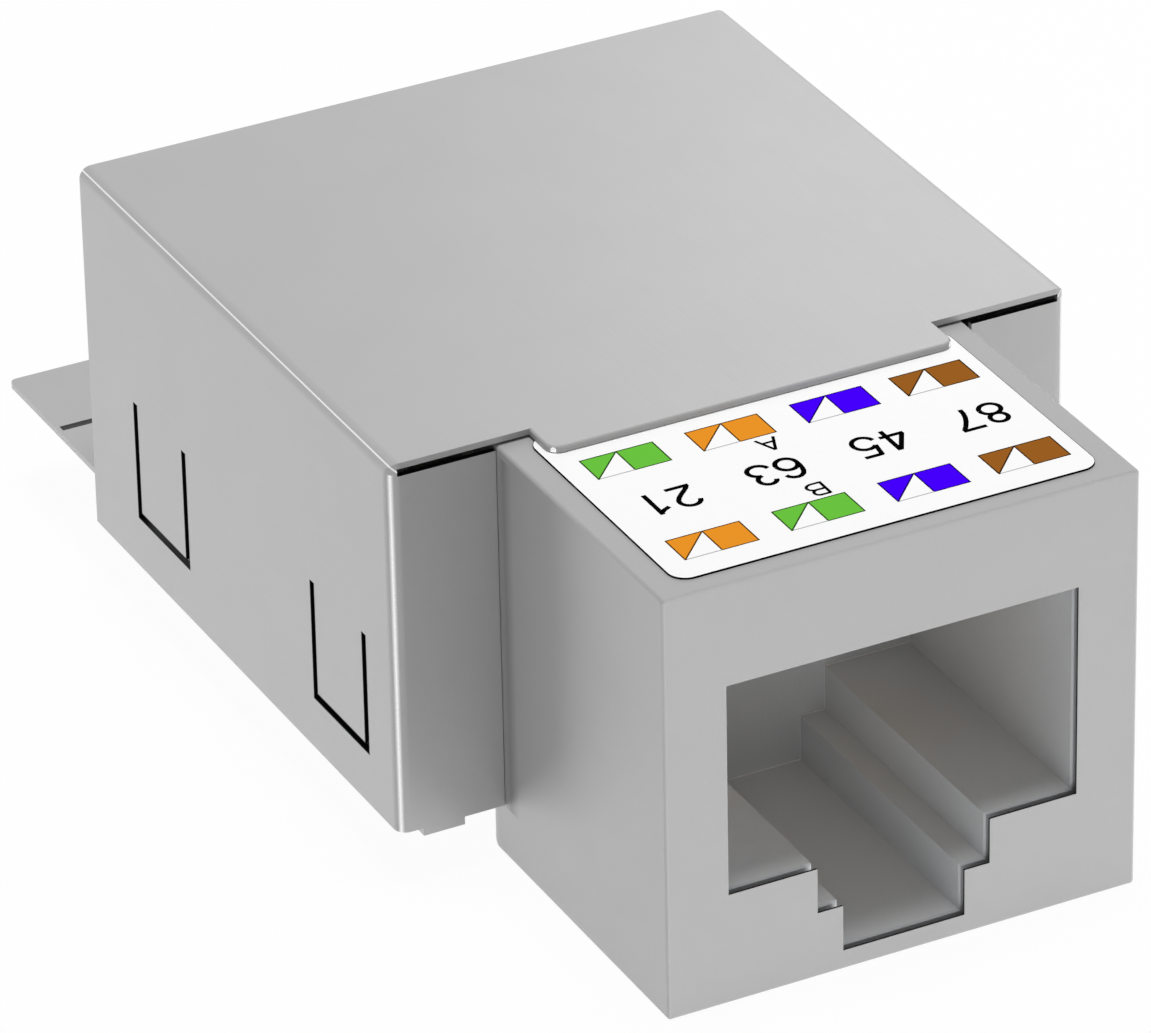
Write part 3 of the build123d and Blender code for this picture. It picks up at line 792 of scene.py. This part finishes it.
def studio_world():
    world = bpy.data.worlds.new("studio")
    world.use_nodes = True
    bpy.context.scene.world = world
    tree = world.node_tree
    background = tree.nodes["Background"]
    start = Wire(tree, None)
    camera_ray = start.node("LightPath", out="Is Camera Ray")
    glossy_ray = start.node("LightPath", out="Is Glossy Ray")
    seen = (camera_ray + glossy_ray).clamped()
    background.inputs["Color"].default_value = (1, 1, 1, 1)
    feed(WORLD_LIGHT + seen * (1.0 - WORLD_LIGHT), background, "Strength")
    print("world light on the part:", WORLD_LIGHT, "of white")


studio_world()

# %% [markdown]
# Five soft lamps shape the part. A wide one hangs straight over it and lights the label and the top.
# Three stand under the table. The one at the rear left lights the long side wall and shines beneath the
# shield onto the low part of the block's side, and the shield's corner keeps it off the rest, which
# gives the soft slanting shade there. The one at the front right lights the plug face and the right
# flange, while the block keeps it off the left one. A weak one at the front left fills in that left
# flange and the plug face. Last, a small lamp close behind to the right adds a sheen that fades along
# the top, and it is the only one that shows in the metal. The three below don't, as opal glass would
# blur them away, and the one above doesn't, or the top would burn white when seen from straight above.
# Each lamp's power is worked out from the share of white that it should add to a face turned towards
# it.


# %% Lamps
def soft_lamp(name, azimuth, elevation, distance, size, share, aim=Vector((0, 0, 0)), mirrored=False):
    """azimuth 0 is the side of the plug face, 90 that of -X; share is the part of white it adds."""
    a = math.radians(azimuth)
    e = math.radians(elevation)
    away = Vector((-math.sin(a) * math.cos(e), -math.cos(a) * math.cos(e), math.sin(e)))
    lamp = bpy.data.lights.new(name, "AREA")
    lamp.shape = "DISK"
    lamp.size = size
    lamp.energy = share * math.pi ** 2 * distance ** 2
    thing = bpy.data.objects.new(name, lamp)
    thing.location = aim / MM + away * distance
    thing.rotation_euler = away.to_track_quat("Z", "Y").to_euler()
    thing.visible_glossy = mirrored
    bpy.context.collection.objects.link(thing)
    print(name, "power in W", round(lamp.energy, 3))


soft_lamp("lamp_overhead", 0, 90, 0.60, 0.25, 0.70)
soft_lamp("lamp_under_rear_left", 150, -33, 0.60, 0.30, 1.21)
soft_lamp("lamp_under_front_right", -30, -20, 0.60, 0.30, 0.64)
soft_lamp("lamp_under_front_left", 20, -14, 0.60, 0.30, 0.125)
soft_lamp("lamp_sheen", -153.3, 30, 0.07, 0.04, 0.11, aim=Vector((13, -14, 14.7)), mirrored=True)

# %% [markdown]
# The camera repeats the photograph's view. Its direction, distance and focal length were worked out
# from the corners of the block, the port and the shield, as a long lens a quarter of a metre away. The
# small roll is real: the photograph's verticals lean by about a degree.

# %% Camera
PHOTO_W = 1151
VIEW_AZIMUTH = 26.668
VIEW_ELEVATION = 29.572
VIEW_ROLL = -1.221
VIEW_DISTANCE = 0.26605
FOCAL_PX = 8754.8
SENSOR_MM = 36.0
AIM = Vector((-4.735, FRONT_Y + 12.0, 10.426)) / MM


def photo_camera():
    a = math.radians(VIEW_AZIMUTH)
    e = math.radians(VIEW_ELEVATION)
    r = math.radians(VIEW_ROLL)
    back = Vector((-math.sin(a) * math.cos(e), -math.cos(a) * math.cos(e), math.sin(e)))
    level = Vector((math.cos(a), -math.sin(a), 0))
    rise = back.cross(level)
    right = level * math.cos(r) + rise * math.sin(r)
    up = rise * math.cos(r) - level * math.sin(r)
    lens = bpy.data.cameras.new("photo_camera")
    lens.sensor_width = SENSOR_MM
    lens.lens = FOCAL_PX * SENSOR_MM / PHOTO_W
    lens.clip_start = 0.01
    lens.clip_end = 10.0
    camera = bpy.data.objects.new("photo_camera", lens)
    spin = Matrix((right, up, back)).transposed()
    camera.matrix_world = Matrix.Translation(AIM + back * VIEW_DISTANCE) @ spin.to_4x4()
    bpy.context.collection.objects.link(camera)
    bpy.context.scene.camera = camera
    print("lens in mm", round(lens.lens, 1))


photo_camera()
bpy.context.scene.view_settings.view_transform = "Standard"
